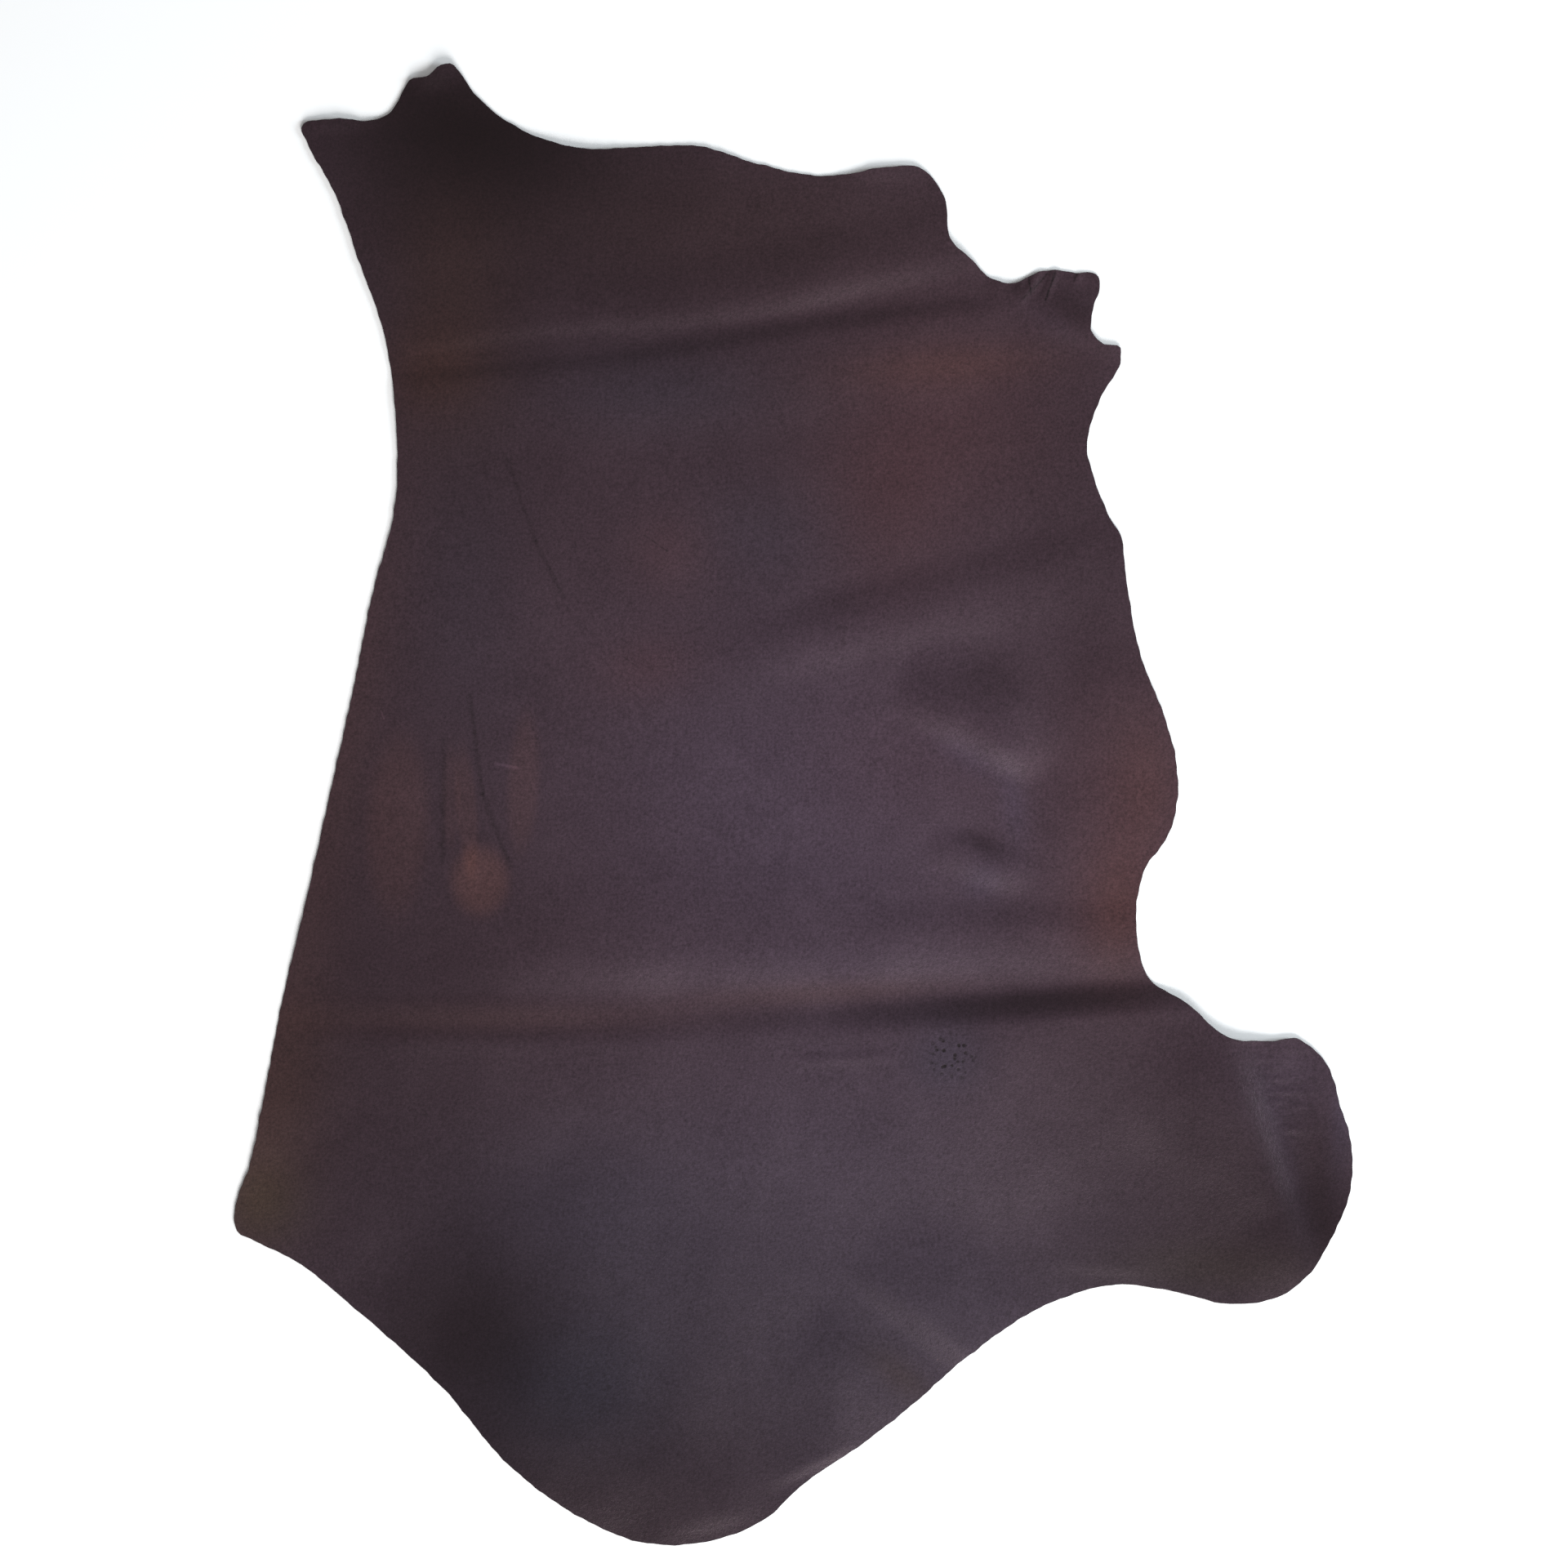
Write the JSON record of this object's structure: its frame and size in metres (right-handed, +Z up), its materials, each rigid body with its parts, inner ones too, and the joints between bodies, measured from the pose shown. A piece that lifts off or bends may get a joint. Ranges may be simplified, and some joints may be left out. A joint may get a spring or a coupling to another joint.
{
  "type": "leather hide",
  "caption": "Side of dark burgundy full-grain leather with its natural trimmed outline, laid flat with long soft folds.",
  "frame": {"origin": "middle of the hide's footprint, on the surface that it lies on", "axes": "+X from the backbone edge towards the belly and shanks, +Y from the butt towards the neck, +Z up, out of the grain side"},
  "size_m": [1.5474, 2.0501, 0.0193],
  "materials": {
    "leather": "satin full grain, dark burgundy brown, with a darker cut edge and a suede-like flesh side"
  },
  "bodies": {
    "root": {"hide": "leather"}
  },
  "joints": []
}
